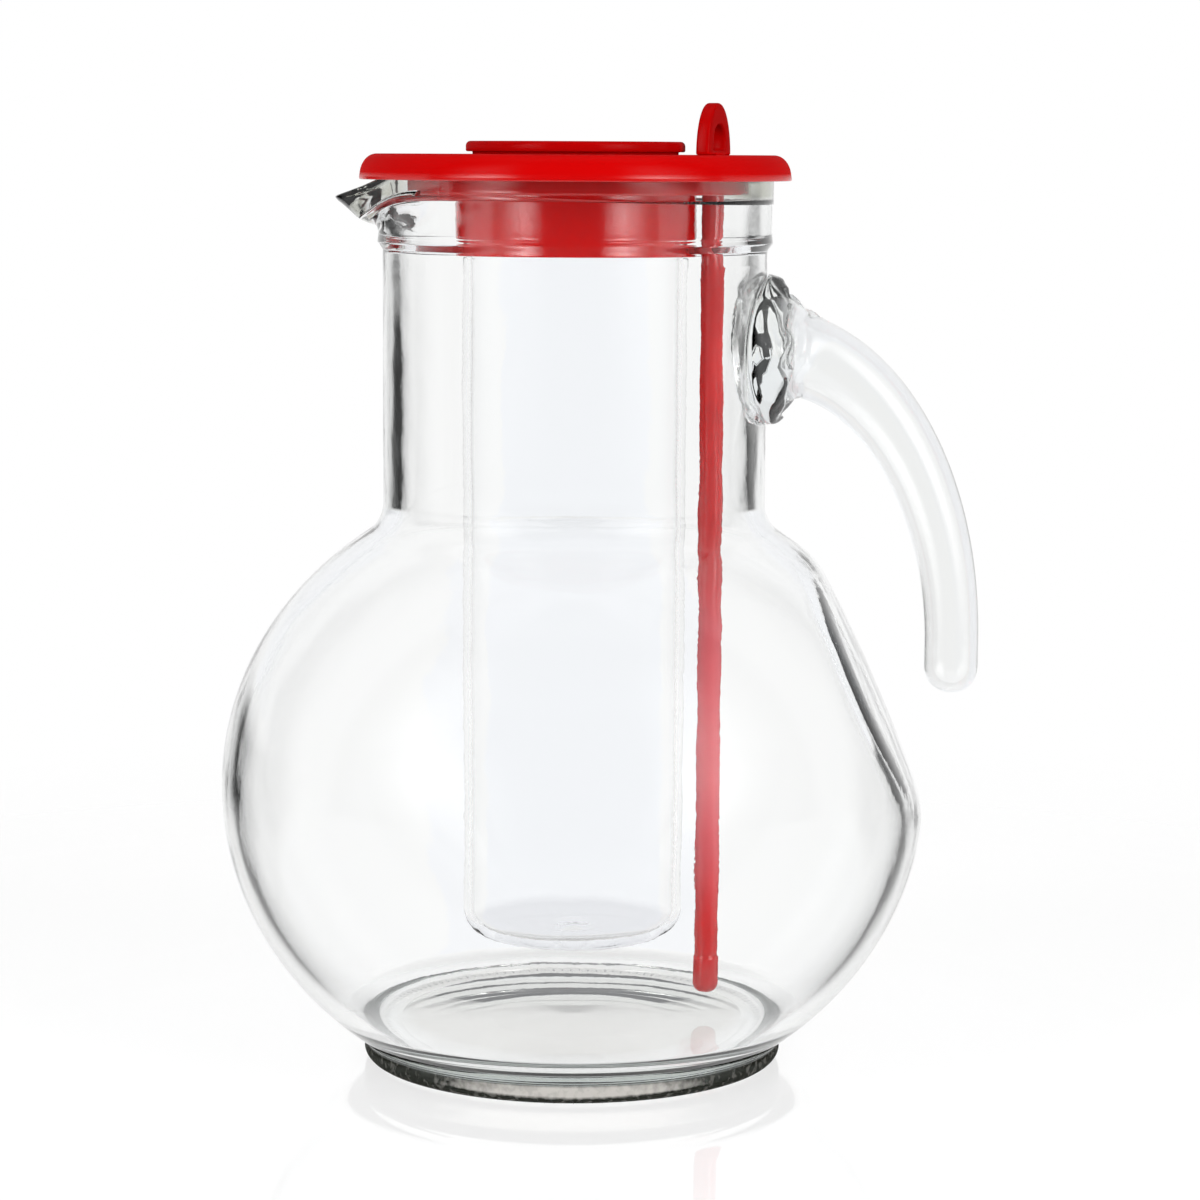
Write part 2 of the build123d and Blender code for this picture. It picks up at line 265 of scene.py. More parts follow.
def glassOutline(s):
    # from the middle of the foot's underside, up the outside, over the rim and down the inside
    belly, bellyZ, top = glassHigh.y - s["spare"], s["bellyZ"], glassHigh.z
    neck, mouth = s["neckR"], s["neckR"] - s["neckWall"]
    rim, bead = neck + s["rimSwell"], top - s["bandH"]
    heel = degrees(np.arcsin((s["footH"] - bellyZ) / s["bellyDrop"]))
    foot = belly * cos(radians(heel))
    lift, ring = s["ringLift"], foot - s["ringWidth"]
    bendR, bendZ = s["puntBend"]
    punt = line((0.0, s["puntDepth"]), (ring * bendR, s["puntDepth"] * bendZ), (ring, lift))
    shoulder = degrees(np.arccos(neck / belly))
    shoulderZ = bellyZ + s["bellyRise"] * sin(radians(shoulder))
    inR, inRise, inDrop = (size - s["bellyWall"] for size in (belly, s["bellyRise"], s["bellyDrop"]))
    floor = degrees(np.arcsin((s["floorT"] - bellyZ) / inDrop))
    floorR = inR * cos(radians(floor))
    inShoulder = degrees(np.arccos(mouth / inR))
    inShoulderZ = bellyZ + inRise * sin(radians(inShoulder))
    ridge = top - s["collarH"]
    band = rim - s["collarSwell"]
    peak = band + s["beadSwell"]
    peakLow, peakHigh = (bead - s["beadH"] * share for share in s["beadPeak"])
    rise, peakIn, peakOut, fall = s["beadBlends"]
    ridgeIn, ridgeOut = s["collarBlends"]
    count, middle = s["arcPoints"], rim - s["rimSwell"] - s["neckWall"] / 2
    outside = outline(
        punt, s["ringBlend"],
        *runs((ring, lift), (foot, lift, s["footEdge"]), (foot, s["footH"])), s["heelBlend"],
        arc((0, bellyZ), belly, s["bellyDrop"], heel, 0, count), 0.0,
        arc((0, bellyZ), belly, s["bellyRise"], 0, shoulder, count), s["neckBlend"],
        *runs(
            (neck, shoulderZ), (neck, bead - s["beadH"], rise), (peak, peakLow, peakIn),
            (peak, peakHigh, peakOut), (band, bead, fall), (band, ridge, ridgeIn),
            (rim, ridge + s["collarStep"], ridgeOut), (rim, top, s["rimEdge"]), (middle, top),
        ),
    )
    inside = outline(
        *runs((middle, top), (mouth, top, s["rimEdge"]), (mouth, inShoulderZ)),
        s["neckBlend"] + s["neckWall"],
        arc((0, bellyZ), inR, inRise, inShoulder, 0, count), 0.0,
        arc((0, bellyZ), inR, inDrop, 0, floor, count), s["floorBlend"],
        line((floorR, s["floorT"]), (0.0, s["floorT"])),
    )
    near = outside[:, 1] > bead - 2 * s["beadH"]  # closer rows from the bead up
    rows = [thinned(outside[~near], s["rowStep"]), thinned(outside[near], s["rimStep"])]
    return np.concatenate(rows), thinned(inside, s["innerStep"])


def pullLip(points, angle, s):
    # the rim drawn out and down towards -X; the pull starts at the bead and grows to the top
    share = np.clip((points[:, 2] - glassHigh.z + s["bandH"]) / s["bandH"], 0, 1)
    away = np.degrees(np.abs(angle % (2 * pi) - pi))
    pull = np.exp(-((away / s["lipSpread"]) ** 2))
    radius = np.hypot(points[:, 0], points[:, 1])
    middle = s["neckR"] - s["neckWall"] / 2
    reach = s["lipReach"] * pull * share ** s["lipCurl"]
    thin = (radius - middle) * pull * share * s["lipThin"] / s["neckWall"]
    points[:, :2] *= ((radius + reach - thin) / np.maximum(radius, 1e-6))[:, None]
    dip = np.exp(-((away / s["dipSpread"]) ** 2))
    points[:, 2] -= s["lipDip"] * dip * smoothStep(share, 0.0, s["dipShare"])
    return points


def pressFlat(points, inset, s):
    # the belly's flat side, a soft cut by a leaning plane that fades out at the neck
    tilt = radians(s["flatTilt"])
    normal = np.array([cos(tilt), 0, sin(tilt)])
    fromMiddle = points - np.array([0, 0, s["bellyZ"]])
    height = fromMiddle @ normal
    aside = (fromMiddle**2).sum(1) - height**2
    reach = s["flatReach"] - inset + s["flatBulge"] * np.clip(1 - aside / s["flatAcross"] ** 2, 0, 1)
    soft = s["flatSoft"]
    cut = soft * np.log1p(np.exp(np.clip((height - reach) / soft, -40, 40)))
    fade = 1 - smoothStep(points[:, 2], *s["flatFade"])
    return points - (cut * fade)[:, None] * normal


def wavy(points, outer, s):
    # slow unevenness, as blown glass has
    size, seed = (s["waveOutside"], 0.0) if outer else (s["waveInside"], s["insideSeed"])
    length, (weight, finer) = s["waveLength"], s["waveFine"]
    out = np.empty(len(points))
    for i, (x, y, z) in enumerate(points):
        p = Vector((x / length + seed, y / length, z / (length * s["waveTall"])))
        out[i] = noise.noise(p) + weight * noise.noise(p * finer)
    radius = np.hypot(points[:, 0], points[:, 1])
    ease = smoothStep(radius, *s["waveAcross"]) * smoothStep(points[:, 2], *s["waveUp"])
    across = points[:, :2] / np.maximum(radius, 1e-6)[:, None]
    points[:, :2] += across * (size * out * ease)[:, None]
    return points


def handleSections(h):
    # from the pad on the neck, along a quarter ellipse and down to the rounded end
    neck, endR, endWide = jug["neckR"], h["thickEnd"] / 2, h["wideEnd"] / 2
    reach = handleHigh.x - endR - neck
    shares = np.linspace(0, 1, h["padRings"] + 1)[1:]
    steps = np.interp(shares, np.linspace(0, 1, len(h["padOut"])), h["padOut"])
    turns = list(np.arcsin(steps / reach))
    turns += list(np.linspace(turns[-1], pi / 2, h["bendRings"] + 1)[1:])
    sections = []
    for turn in turns:
        x, z = neck + reach * sin(turn), h["rootZ"] - h["drop"] * (1 - cos(turn))
        left = (1 - turn / (pi / 2)) ** h["taper"]
        thick = h["thickEnd"] + (h["thickRoot"] - h["thickEnd"]) * left
        wide = h["wideEnd"] + (h["wideRoot"] - h["wideEnd"]) * left
        swell = np.interp(x - neck, h["padOut"], h["padSwell"])
        lean = atan2(h["drop"] * sin(turn), reach * cos(turn)) * smoothStep(x - neck, 0.0, h["leanOut"])
        sections.append((x, z, lean, thick / 2 * (1 + swell), wide / 2 * (1 + swell * h["padWide"])))
    endX, endZ = sections[-1][:2]
    for share in np.linspace(0, 1, h["tailRings"] + 1)[1:]:
        sections.append((endX, endZ - (h["tail"] - endR) * share, pi / 2, endR, endWide))
    for turn in np.radians(np.linspace(0, h["endTurn"], h["endRings"] + 1)[1:]):
        z, shrink = endZ - h["tail"] + endR - endR * sin(turn), cos(turn) ** h["endShape"]
        sections.append((endX, z, pi / 2, endR * shrink, endWide * shrink))
    return sections


def handleRings(loop, h):
    # each section as a ring that goes round as the pad's loop does
    neck, (foldX, foldZ) = jug["neckR"], h["foldLength"]
    spread = np.arctan2((loop[:, 2] - h["rootZ"]) / h["padH"], loop[:, 1] / (neck * radians(h["padAngle"])))
    rings = []
    for k, (x, z, lean, thick, wide) in enumerate(handleSections(h)):
        across, up = np.cos(spread) * wide, np.sin(spread) * thick
        ring = np.stack([x + up * sin(lean), across, z + up * cos(lean)], 1)
        settle = smoothStep(k, *h["settle"])
        bent = ring.copy()
        bent[:, 0] += np.sqrt(np.maximum(neck**2 - ring[:, 1] ** 2, 0)) - neck
        ring = bent * (1 - settle) + ring * settle
        gather = h["fold"] * (1 - smoothStep(x - neck, *h["foldFade"])) * smoothStep(k, *h["foldStart"])
        for p in ring:
            q = Vector((p[0] / foldX, p[1] / foldZ, p[2] / foldZ))
            out, along, up = (noise.noise(q + Vector(shift)) for shift in h["foldShifts"])
            p += gather * np.array([out, h["foldAside"] * along, up])
        rings.append(ring)
    return rings


def drawnToPad(turn, height, h):
    # the grid round the handle's pad is drawn into an ellipse
    u, v = np.degrees(turn) / h["padAngle"], (height - h["rootZ"]) / h["padH"]
    far = np.maximum(np.abs(u), np.abs(v))
    ease = (1 - smoothStep(far, 1.0, h["padEase"])) * (1 - smoothStep(v, 1.0, h["padEaseUp"]))
    scale = 1 + (far / np.maximum(np.hypot(u, v), 1e-6) - 1) * ease
    return turn * scale, h["rootZ"] + (height - h["rootZ"]) * scale


def jugRow(r, z, outer, angle, s, h):
    # one row of the skin, round the upright axis
    turn, height = angle, np.full(len(angle), z)
    if outer and abs(z - h["rootZ"]) < 2 * h["padH"]:
        turn, height = drawnToPad(turn, height, h)
    if outer and s["collarH"] > glassHigh.z - z > s["collarH"] - s["tiltDepth"]:
        height = height - s["collarTilt"] * np.cos(turn)
    points = np.stack([r * np.cos(turn), r * np.sin(turn), height], 1)
    points = pressFlat(points, 0.0 if outer else s["bellyWall"], s)
    if r > 1.0 and s["footH"] < z < glassHigh.z - s["waveStop"]:
        points = wavy(points, outer, s)
    return pullLip(points, angle, s)


def makeJug(s, h):
    outside, inside = glassOutline(s)
    path = np.concatenate([outside, inside[1:]])
    rows, columns = len(path), s["columns"]
    outer = np.arange(rows) < len(outside)
    angle = -pi + 2 * pi * np.arange(columns) / columns  # the handle, at 0, is in the middle
    grid = np.array([jugRow(r, z, out, angle, s, h) for (r, z), out in zip(path, outer)])
    # the hole for the handle's pad and the loop round it
    onNeck = outer & (path[:, 0] < s["neckR"] + s["neckPlay"])
    onNeck &= np.abs(path[:, 1] - h["rootZ"]) <= h["padH"]
    inPad = np.abs(np.degrees(angle)) <= h["padAngle"]
    a, b = (int(j) for j in np.flatnonzero(onNeck)[[0, -1]])
    c, d = (int(i) for i in np.flatnonzero(inPad)[[0, -1]])
    loop = [(a, i) for i in range(c, d)] + [(j, d) for j in range(a, b)]
    loop += [(b, i) for i in range(d, c, -1)] + [(j, c) for j in range(b, a, -1)]
    faces = []
    for n, face in enumerate(turnedFaces(rows, columns, False)):
        j, i = divmod(n, columns)
        if 0 < j < rows - 2 and not (a <= j < b and c <= i < d):
            faces.append(face)
    for j, ring in ((0, 1), (rows - 1, rows - 2)):
        for i in range(columns):
            faces.append((j * columns, ring * columns + i, ring * columns + (i + 1) % columns))
    points = [p for row in grid for p in row]
    last = [j * columns + i for j, i in loop]
    for ring in handleRings(np.array([grid[j, i] for j, i in loop]), h):
        ids = list(range(len(points), len(points) + len(ring)))
        points += list(ring)
        for i in range(len(ids)):
            k = (i + 1) % len(ids)
            faces.append((last[i], last[k], ids[k], ids[i]))
        last = ids
    points.append(np.mean([points[i] for i in last], axis=0))
    for i in range(len(last)):
        faces.append((last[i], last[(i + 1) % len(last)], len(points) - 1))
    used = sorted({i for f in faces for i in f})
    new = {old: i for i, old in enumerate(used)}
    return makePiece("jug_glass", [points[i] * mm for i in used], [tuple(new[i] for i in f) for f in faces])


jugGlass = makeJug(jug, handle)
print("jug glass:", len(jugGlass.data.polygons), "faces")


# lid: rounded edge, locating skirt with a gap at the spout, collar with slots for the tube
lid = {
    "columns": 224, "rowStep": 6.0, "rowTurn": 8.0, "sharp": 32.0, "soft": 0.35, "past": 1.0,
    "edgeRound": 4.2, "edgeDrop": 3.5, "edgeWall": 2.2, "edgeBead": 0.1, "edgeBase": 0.9,
    "beadRows": (1.2, 0.75), "skirtR": 41.4, "skirtWall": 1.8, "skirtH": 6.7,
    "skirtGap": 64.0, "gapOut": 0.3, "gapIn": 2.0, "gapTop": 0.02,
    "collarR": 29.0, "collarIn": 26.7, "collarShort": 0.8, "holeR": 23.5, "rodHole": 3.55, "rodColumns": 48,
    "slots": 3, "slotR": 27.6, "slotLow": 203.7, "slotHigh": 206.3, "slotHalf": 8.6, "slotTurn": 40.0,
    "entryTop": 0.1,
}


def makeLid(s):
    r, low, top = lidHigh.x, glassHigh.z - s["edgeDrop"], lidHigh.z
    rest, collar = glassHigh.z, lidLow.z + s["collarShort"]
    skirtR, skirtIn, skirt = s["skirtR"], s["skirtR"] - s["skirtWall"], rest - s["skirtH"]
    hole, edge, edgeIn = s["holeR"], r - s["edgeRound"], r - s["edgeWall"]
    base, bead, past = s["edgeBase"], s["edgeBead"], s["past"]
    beadTop, beadLow = (low + z for z in s["beadRows"])
    path = outline(
        *runs((hole, rest), (hole, top, s["soft"]), (edge, top)), 0.0,
        arc((edge, low + base), s["edgeRound"] - bead, top - low - base, 90, 6), 0.4,
        *runs(
            (r - bead, beadTop), (r, beadLow, 0.25), (r, low, 0.3), (edgeIn, low, 0.4), (edgeIn, rest, 0.5),
            (skirtR, rest, 0.4), (skirtR, skirt, 0.6), (skirtIn, skirt, 0.6), (skirtIn, rest, 0.6),
            (s["collarR"], rest, 0.8), (s["collarR"], collar, 0.5), (s["collarIn"], collar, 0.5),
            (s["collarIn"], rest, 0.2), (hole, rest),
        ),
    )
    piece = turnedPiece("lid_red", thinned(path, s["rowStep"], s["rowTurn"])[:-1], s["columns"], closed=True)
    half = s["skirtGap"] / 2
    gap = (skirtR + s["gapOut"], skirtIn - s["gapIn"], skirt - past, rest - s["gapTop"])
    rodHole = line((0, rest - past), (s["rodHole"], rest - past), (s["rodHole"], top + past), (0, top + past))
    cutters = [arcBlock("gap", *gap, 180 - half, 180 + half), turnedPiece("hole", rodHole, s["rodColumns"])]
    cutters[1].data.transform(Matrix.Translation((rodX * mm, 0, 0)))
    outer, inner, half = s["slotR"], s["collarIn"] - past, s["slotHalf"]
    slot, entry = (s["slotLow"], s["slotHigh"]), (collar - past, s["slotHigh"] - s["entryTop"])
    for i in range(s["slots"]):
        turn = 360 * i / s["slots"]
        way = turn + s["slotTurn"]
        cutters.append(arcBlock("slot", outer, inner, *slot, turn - half, way + half))
        cutters.append(arcBlock("entry", outer, inner, *entry, way - half, way + half))
    combine(piece, cutters, "DIFFERENCE")
    finishMesh(piece.data, s["sharp"])
    return piece


lidRed = makeLid(lid)
print("lid:", len(lidRed.data.polygons), "faces")


# ice tube: clear moulded tube with a rounded foot, a gate dimple in its floor and three lugs
tube = {
    "columns": 160, "rowStep": 5.0, "sharp": 40.0, "wall": 2.2, "floor": 2.4, "draft": 0.3, "corner": 6.0,
    "shoulderZ": 196.7, "neckStep": 0.8,
    "gateR": 5.2, "gateFlat": 0.35, "gateDip": 0.9, "gateBlends": (1.2, 3.0),
    "lugs": 3, "lugAngle": 16.0, "lugLow": 204.0, "lugHigh": 206.0, "lugEdge": 0.06, "lugOut": 0.9,
}


def makeTube(s):
    outR, low, top = tubeHigh.y, tubeLow.z, tubeHigh.z
    neck, inR = outR - s["neckStep"], outR - s["wall"]
    lowR, lowIn = outR - s["draft"], inR - s["draft"]
    shoulder, floor = s["shoulderZ"], low + s["floor"]
    dip, gate, flat = s["gateDip"], s["gateR"], s["gateR"] * s["gateFlat"]
    dimple, rim = s["gateBlends"]
    lugRows = (s["lugLow"], s["lugLow"] + s["lugEdge"], s["lugHigh"] - s["lugEdge"], s["lugHigh"])
    path = outline(
        *runs(
            (0, low + dip), (flat, low + dip, dimple), (gate, low, rim), (lowR, low, s["corner"]),
            (outR, shoulder, 0.25), (neck, shoulder),
        ), 0.2,
        line(*((neck, z) for z in (shoulder, *lugRows, top))), 0.4,
        *runs(
            (neck, top), (inR, top, 0.4), (lowIn, floor, s["corner"] - s["wall"]), (gate, floor, rim),
            (flat, floor + dip, dimple), (0, floor + dip),
        ),
    )
    path = thinned(path, s["rowStep"])
    # the rows of the lugs take the place of those between
    onNeck = np.abs(path[:, 0] - neck) < 1e-6
    at, tail = (np.flatnonzero(onNeck & (path[:, 1] > s[key]))[0] for key in ("lugLow", "lugHigh"))
    path = np.concatenate([path[:at], [(neck, z) for z in lugRows], path[tail:]])
    points = []
    pitch = 360 / s["lugs"]
    for j, (r, z) in enumerate(path):
        onLug = at < j < at + 3
        for a in np.linspace(0, 2 * pi, s["columns"], endpoint=False):
            away = (degrees(a) + pitch / 2) % pitch - pitch / 2
            out = s["lugOut"] if onLug and abs(away) < s["lugAngle"] / 2 else 0.0
            points.append(((r + out) * cos(a) * mm, (r + out) * sin(a) * mm, z * mm))
    return makePiece("ice_tube_clear", points, turnedFaces(len(path), s["columns"], False), s["sharp"])


iceTube = makeTube(tube)
print("ice tube:", len(iceTube.data.polygons), "faces")


# core cap: a flat disc with a soft edge and a short plug
cap = {
    "columns": 192, "rowStep": 6.0, "rowTurn": 8.0, "plugR": 23.2, "plugWall": 1.8,
    "undercut": 0.6, "undercutW": 1.6, "edge": 1.1, "dish": 0.25, "dishR": 22.5, "dishEase": 0.6,
}


def makeCap(s):
    r, low, top, rest = capHigh.x, capLow.z, capHigh.z, lidHigh.z
    plug, plugIn = s["plugR"], s["plugR"] - s["plugWall"]
    under, underR = rest + s["undercut"], r - s["undercutW"]
    dish, dishR = top - s["dish"], s["dishR"]
    path = outline(*runs(
        (0, rest), (plugIn, rest, 0.5), (plugIn, low, 0.5), (plug, low, 0.5), (plug, rest, 0.2),
        (underR, rest, 0.1), (underR, under, 0.2), (r, under, 0.4), (r, top, s["edge"]),
        (dishR + s["dishEase"], top, 0.4), (dishR, dish, 0.4), (0, dish),
    ))
    return turnedPiece("core_cap_red", thinned(path, s["rowStep"], s["rowTurn"]), s["columns"])


coreCap = makeCap(cap)
print("core cap:", len(coreCap.data.polygons), "faces")


# stirrer: a rod with a blunt knob and a thumb tab with an arched opening
stirrer = {
    "columns": 48, "rowStep": 4.0, "rowTurn": 10.0, "sharp": 36.0, "rodR": 2.85, "knobR": 3.15, "knobH": 9.0,
    "knobRound": 2.5, "ease": 0.6, "tabW": 16.0, "tabT": 3.4, "tabBase": 1.2, "tabTurn": 17.0,
    "holeW": 7.8, "holeH": 6.0, "edge": 0.7, "bevelFrom": 50.0, "tabPoints": 49, "holePoints": 33,
}


def makeTab(s, rest):
    # half an ellipse with an opening, given its thickness and soft edges
    half, arch = s["tabW"] / 2, s["holeW"] / 2
    spring = s["tabBase"] + (s["holeH"] - arch)
    out = [(half * cos(t), (rodHigh.z - rest) * sin(t)) for t in np.linspace(0, pi, s["tabPoints"])]
    way = [(arch * cos(t), spring + arch * sin(t)) for t in np.linspace(0, pi, s["holePoints"])]
    form = bmesh.new()
    edges = []
    for loop in (out, [(arch, s["tabBase"]), *way, (-arch, s["tabBase"])]):
        verts = [form.verts.new((0, y * mm, z * mm)) for y, z in loop]
        edges += [form.edges.new((verts[i], verts[(i + 1) % len(verts)])) for i in range(len(verts))]
    bmesh.ops.triangle_fill(form, use_beauty=True, edges=edges)
    sides = bmesh.ops.extrude_face_region(form, geom=form.faces[:])
    moved = [v for v in sides["geom"] if isinstance(v, bmesh.types.BMVert)]
    bmesh.ops.translate(form, verts=moved, vec=(s["tabT"] * mm, 0, 0))
    bmesh.ops.translate(form, verts=form.verts, vec=(-s["tabT"] / 2 * mm, 0, rest * mm))
    bmesh.ops.recalc_face_normals(form, faces=form.faces)
    mesh = bpy.data.meshes.new("tab")
    form.to_mesh(mesh)
    form.free()
    tab = bpy.data.objects.new("tab", mesh)
    scene.collection.objects.link(tab)
    bevel = tab.modifiers.new("edge", "BEVEL")
    bevel.width = s["edge"] * mm
    bevel.segments = 4
    bevel.limit_method = "ANGLE"
    bevel.angle_limit = radians(s["bevelFrom"])
    asMesh(tab)
    tab.data.transform(Matrix.Rotation(radians(-s["tabTurn"]), 4, "Z"))
    return tab


def makeStirrer(s):
    low, rest, ease = rodLow.z, lidHigh.z, s["ease"]
    neck = low + s["knobH"]
    path = outline(*runs(
        (0, low), (s["knobR"], low, s["knobRound"]), (s["knobR"], neck, 0.3), (s["rodR"], neck + ease, 0.6),
        (s["rodR"], rest + ease, 0.2), (0, rest + ease),
    ))
    rod = turnedPiece("stirrer_red", thinned(path, s["rowStep"], s["rowTurn"]), s["columns"])
    combine(rod, [makeTab(s, rest)], "UNION")
    rod.data.transform(Matrix.Translation((rodX * mm, 0, 0)))
    finishMesh(rod.data, s["sharp"])
    return rod


stirrerRed = makeStirrer(stirrer)
print("stirrer:", len(stirrerRed.data.polygons), "faces")


# shading: a socket that can be used in Python sums
class Wire:
    def __init__(self, socket):
        self.socket = socket
        self.tree = socket.id_data

    def make(self, kind, settings=None, inputs=None, out=0):
        node = self.tree.nodes.new(kind)
        for key, value in (settings or {}).items():
            if key == "stops":
                ramp = node.color_ramp.elements
                while len(ramp) < len(value):
                    ramp.new(1.0)
                for element, (place, colour) in zip(ramp, value):
                    element.position = place
                    element.color = colour
            else:
                setattr(node, key, value)
        for key, value in (inputs or {}).items():
            if isinstance(value, Wire):
                self.tree.links.new(value.socket, node.inputs[key])
            else:
                node.inputs[key].default_value = value
        return Wire(node.outputs[out])

    def math(self, operation, a, b):
        return self.make("ShaderNodeMath", {"operation": operation}, {0: a, 1: b})

    def __add__(self, other):
        return self.math("ADD", self, other)

    def __radd__(self, other):
        return self.math("ADD", other, self)

    def __sub__(self, other):
        return self.math("SUBTRACT", self, other)

    def __rsub__(self, other):
        return self.math("SUBTRACT", other, self)

    def __mul__(self, other):
        return self.math("MULTIPLY", self, other)

    def __rmul__(self, other):
        return self.math("MULTIPLY", other, self)


white = (1, 1, 1, 1)


def grey(shade):
    return (shade, shade, shade, 1)


def ramp(wire, span, start=0.0, end=1.0, smooth=False):
    # goes from start to end while the wire goes through the span
    kind = "SMOOTHSTEP" if smooth else "LINEAR"
    values = {0: wire, 1: span[0], 2: span[1], 3: start, 4: end}
    return wire.make("ShaderNodeMapRange", {"interpolation_type": kind}, values)


def zone(wire, span, start=0.0, end=1.0, smooth=False):
    # a ramp over a span in millimetres
    return ramp(wire, [v * mm for v in span], start, end, smooth)


def mixed(factor, first, second):
    values = {"Factor": factor, 6: first, 7: second}
    return factor.make("ShaderNodeMix", {"data_type": "RGBA"}, values, out=2)


def mixedShader(factor, first, second):
    return factor.make("ShaderNodeMixShader", {}, {0: factor, 1: first, 2: second})


def cloudy(place, scale, detail=2.0, roughness=0.5):
    values = {"Vector": place, "Scale": scale, "Detail": detail, "Roughness": roughness}
    return place.make("ShaderNodeTexNoise", {}, values)


def bumped(height, strength, depth):
    return height.make("ShaderNodeBump", {}, {"Strength": strength, "Distance": depth * mm, "Height": height})


def part(place, axis):
    return place.make("ShaderNodeSeparateXYZ", {}, {0: place}, out=axis)


def setInputs(shader, **values):
    # constants, with the socket's name as one word
    for socket in shader.inputs:
        key = socket.name.replace(" ", "")
        if key in values:
            socket.default_value = values[key]


def feed(wire, node, socket):
    wire.tree.links.new(wire.socket, node.inputs[socket])


def newMaterial(name):
    # the material, its main shader and a wire of the piece's own coordinates
    material = bpy.data.materials.new(name)
    material.use_nodes = True
    tree = material.node_tree
    place = Wire(tree.nodes.new("ShaderNodeTexCoord").outputs["Object"])
    return material, tree.nodes["Principled BSDF"], place


# lengths and heights are in millimetres, from where a look starts to where it is full
glassLook = {
    "ior": 1.5, "thinIor": 1.04, "thinCoat": 0.8, "mirror": 0.12,
    "tint": (0.64, 0.685, 0.655, 1.0), "density": 14.0,
    "ripple": 0.02, "rippleDepth": 2.0, "slow": 75.0, "slowRough": 0.45, "slowShare": 0.85, "fine": 620.0,
    "fineShare": 0.15, "calmZ": (30.0, 65.0), "calm": 0.15,
    "clearing": 0.9, "clearX": (47.0, 55.0), "clearPast": (1.0, 4.0), "edgeClearing": 0.15,
    "clearGlance": (0.55, 0.85), "padClearing": 0.1, "padX": (44.0, 45.5), "padZ": (18.0, 22.0),
    # the foot keys give the painted shade on the foot's side
    "footWear": 0.94, "footR": (47.0, 49.0), "footZ": (4.6, 6.0), "footGlance": (0.04, 0.3), "footRough": 0.6,
    "mottleFrom": (0.35, 0.65), "mottle": (-0.14, 0.18),
    "footLight": (0.5, 0.48, 0.45, 1.0), "footDark": (0.008, 0.0085, 0.005, 1.0),
    "olive": (0.3, 0.305, 0.235, 1.0), "ringGlance": (0.2, 0.65), "ringEase": 1.0, "spoutR": (48.6, 50.5),
    "spoutZ": (196.0, 200.0), "streakFrom": (0.3, 0.7), "streak": 0.2,
    # the floor keys give the painted shade round the jug's inner floor
    "floor": (0.8, 0.78, 0.75, 1.0), "floorR": (40.0, 47.0),
    "floorLow": (9.5, 10.5), "floorHigh": (11.5, 14.5),
}


def clearGlass(s):
    material, shader, place = newMaterial("clear_glass")
    output = place.tree.nodes["Material Output"]
    thin, matt = (place.tree.nodes.new("ShaderNodeBsdfPrincipled") for i in range(2))
    mirror = grey(s["mirror"])  # faint head-on, full at a glancing angle
    for node, ior in ((shader, s["ior"]), (thin, s["thinIor"])):
        setInputs(node, BaseColor=white, Roughness=0.0, IOR=ior, TransmissionWeight=1.0, SpecularTint=mirror)
    setInputs(thin, CoatWeight=s["thinCoat"])
    x, y, z = (part(place, axis) for axis in range(3))
    flat = place.make("ShaderNodeCombineXYZ", {}, {0: x, 1: y})
    radius = place.make("ShaderNodeVectorMath", {"operation": "LENGTH"}, {0: flat}, out=1)
    aside = place.make("ShaderNodeLayerWeight", {}, {"Blend": 0.5}, out=1)
    calm = zone(z, s["calmZ"], s["calm"])
    slow = cloudy(place, s["slow"], roughness=s["slowRough"])
    fine = cloudy(place, s["fine"])
    height = slow * calm * s["slowShare"] + fine * calm * s["fineShare"]
    feed(bumped(height, s["ripple"], s["rippleDepth"]), shader, "Normal")
    # painted shade: the solid foot's side takes a matt grey that is painted dark where it is seen along its
    # side, in place of the contact shadow and dark reflections the real foot shows
    edge = ramp(aside, s["footGlance"], smooth=True)
    mottle = ramp(fine, s["mottleFrom"], *s["mottle"])
    feed(mixed(edge + mottle, s["footLight"], s["footDark"]), matt, "Base Color")
    setInputs(matt, Roughness=s["footRough"], SpecularIORLevel=0.0)
    # the ring above the band and the spout show the glass's own olive along their sides
    ridge, ease = glassHigh.z - jug["collarH"], s["ringEase"]
    ring = zone(z, (ridge - ease, ridge + ease)) * ramp(aside, s["ringGlance"], smooth=True)
    spout = zone(radius, s["spoutR"]) * zone(z, s["spoutZ"]) * ramp(slow, s["streakFrom"], s["streak"])
    # painted shade: round the inner floor, within a ring about the axis, the glass is painted greyer
    innerFloorShade = zone(z, s["floorLow"]) * zone(z, s["floorHigh"], 1.0, 0.0) * zone(radius, s["floorR"], 1.0, 0.0)
    floor = mixed(innerFloorShade, white, s["floor"])
    feed(mixed(ring + spout, floor, s["olive"]), shader, "Base Color")
    # the solid handle, beyond the belly's flat and off the neck, stays bright
    tilt = radians(jug["flatTilt"])
    beyond = x * cos(tilt) + (z - jug["bellyZ"] * mm) * sin(tilt) - jug["flatReach"] * mm
    off = zone(x, s["clearX"], 0.0, s["clearing"], smooth=True)
    past = zone(beyond, s["clearPast"], smooth=True)
    inside = ramp(aside, s["clearGlance"], 1.0, s["edgeClearing"], smooth=True)
    level = place.math("ABSOLUTE", z - handle["rootZ"] * mm, 0.0)
    pad = zone(level, s["padZ"], s["padClearing"], 0.0) * zone(x, s["padX"])
    bright = place.math("MAXIMUM", off * past * inside, pad)
    both = mixedShader(bright, Wire(shader.outputs[0]), Wire(thin.outputs[0]))
    within = place.make("ShaderNodeNewGeometry", out="Backfacing")
    # painted shade: on the foot's outer side the glass gives way to the matt grey
    foot = zone(radius, s["footR"]) * zone(z, s["footZ"], 1.0, 0.0) * (1 - within) * s["footWear"]
    feed(mixedShader(foot, both, Wire(matt.outputs[0])), output, "Surface")
    absorb = place.make("ShaderNodeVolumeAbsorption", {}, {"Color": s["tint"], "Density": s["density"]})
    feed(absorb, output, "Volume")
    return material


